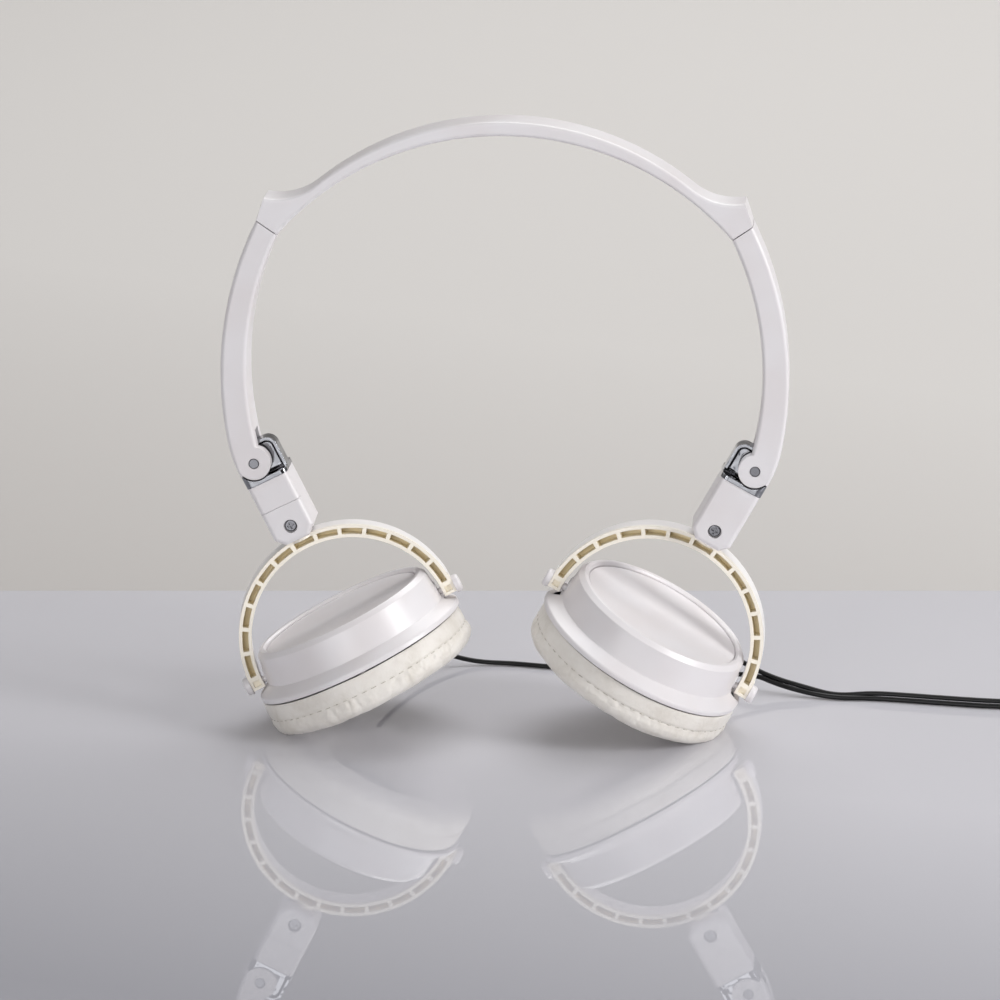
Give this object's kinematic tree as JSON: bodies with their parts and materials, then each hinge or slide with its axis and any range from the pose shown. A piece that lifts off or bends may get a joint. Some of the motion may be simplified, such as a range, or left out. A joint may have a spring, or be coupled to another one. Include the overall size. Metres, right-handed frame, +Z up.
{
  "type": "headphones",
  "caption": "Folding on-ear headphones with a thin white headband, sliding side arms, hinged swivelling half-ring yokes, tilting cups and a black cord to a small audio plug.",
  "frame": {"origin": "the middle of the headphones' footprint, on the surface that they stand on, without the cord", "axes": "+X to the right as seen from the front, +Y to the back, +Z up"},
  "size_m": [0.3234, 0.1037, 0.1815],
  "materials": {
    "white_plastic": "glossy moulded white plastic",
    "cream_plastic": "white plastic that has yellowed to cream at its edges",
    "chrome": "bright plated metal",
    "steel": "plain steel",
    "leatherette": "soft off-white imitation leather with fine wrinkles",
    "speaker_cloth": "thin woven acoustic cloth",
    "film": "thin clear film",
    "cord_pvc": "smooth black vinyl",
    "black_plastic": "satin black plastic",
    "tie_plastic": "soft black tie",
    "plug_metal": "bright plated contact",
    "liner_rubber": "satin white inner strip"
  },
  "bodies": {
    "headband": {"headband": "white_plastic", "headband_liner": "liner_rubber", "left_lead": "cord_pvc", "right_lead": "cord_pvc", "splitter": "black_plastic", "main_cord": "cord_pvc", "plug_tail": "cord_pvc", "cord_coil": "cord_pvc", "coil_tie": "tie_plastic", "plug_grip": "black_plastic", "plug_contact": "plug_metal"},
    "left_arm": {"left_arm": "white_plastic", "left_slide_strip": "steel", "left_hinge_pin": "steel"},
    "left_knuckle": {"left_knuckle": "white_plastic", "left_knuckle_cover": "white_plastic", "left_knuckle_screw": "steel", "left_hinge_bracket": "chrome", "left_swivel_bush": "black_plastic"},
    "left_yoke": {"left_yoke": "cream_plastic", "left_pivot_pins": "white_plastic"},
    "left_cup": {"left_cup_shell": "white_plastic", "left_cup_cap": "white_plastic", "left_baffle": "black_plastic", "left_baffle_screws": "steel", "left_driver_frame": "black_plastic", "left_driver_magnet": "steel", "left_driver_diaphragm": "film", "left_cushion_ring": "white_plastic", "left_ear_cloth": "speaker_cloth", "left_strain_relief": "black_plastic", "left_cushion": "leatherette"},
    "right_arm": {"right_arm": "white_plastic", "right_slide_strip": "steel", "right_hinge_pin": "steel"},
    "right_knuckle": {"right_knuckle": "white_plastic", "right_knuckle_cover": "white_plastic", "right_knuckle_screw": "steel", "right_hinge_bracket": "chrome", "right_swivel_bush": "black_plastic"},
    "right_yoke": {"right_yoke": "cream_plastic", "right_pivot_pins": "white_plastic"},
    "right_cup": {"right_cup_shell": "white_plastic", "right_cup_cap": "white_plastic", "right_baffle": "black_plastic", "right_baffle_screws": "steel", "right_driver_frame": "black_plastic", "right_driver_magnet": "steel", "right_driver_diaphragm": "film", "right_cushion_ring": "white_plastic", "right_ear_cloth": "speaker_cloth", "right_strain_relief": "black_plastic", "right_cushion": "leatherette"}
  },
  "joints": [
    {"name": "left_extend", "type": "hinge", "parent": "headband", "child": "left_arm", "pos_m": [0, -0.0003, 0.0925], "axis": [0, -1, 0], "range_deg": [0, 13]},
    {"name": "left_fold", "type": "hinge", "parent": "left_arm", "child": "left_knuckle", "pos_m": [-0.073, -0.0003, 0.0799], "axis": [0, -1, 0], "range_deg": [0, 88]},
    {"name": "left_swivel", "type": "hinge", "parent": "left_knuckle", "child": "left_yoke", "pos_m": [-0.04511, -0.0003, 0.02688], "axis": [-0.4478, 0, 0.8942], "range_deg": [-12.3, 87.7]},
    {"name": "left_tilt", "type": "hinge", "parent": "left_yoke", "child": "left_cup", "pos_m": [-0.04511, -0.0003, 0.02688], "axis": [0.8869, 0.1271, 0.4441], "range_deg": [-88.9, 36.1], "deforming": ["left_lead"]},
    {"name": "right_extend", "type": "hinge", "parent": "headband", "child": "right_arm", "pos_m": [0, -0.0003, 0.0925], "axis": [0, 1, 0], "range_deg": [0, 13]},
    {"name": "right_fold", "type": "hinge", "parent": "right_arm", "child": "right_knuckle", "pos_m": [0.073, -0.0003, 0.0799], "axis": [0, 1, 0], "range_deg": [0, 88]},
    {"name": "right_swivel", "type": "hinge", "parent": "right_knuckle", "child": "right_yoke", "pos_m": [0.04264, -0.0003, 0.02825], "axis": [-0.4894, 0, -0.8721], "range_deg": [-7.7, 92.3]},
    {"name": "right_tilt", "type": "hinge", "parent": "right_yoke", "child": "right_cup", "pos_m": [0.04264, -0.0003, 0.02825], "axis": [0.8711, -0.0471, -0.4888], "range_deg": [-95.3, 29.7], "deforming": ["right_lead"]}
  ]
}
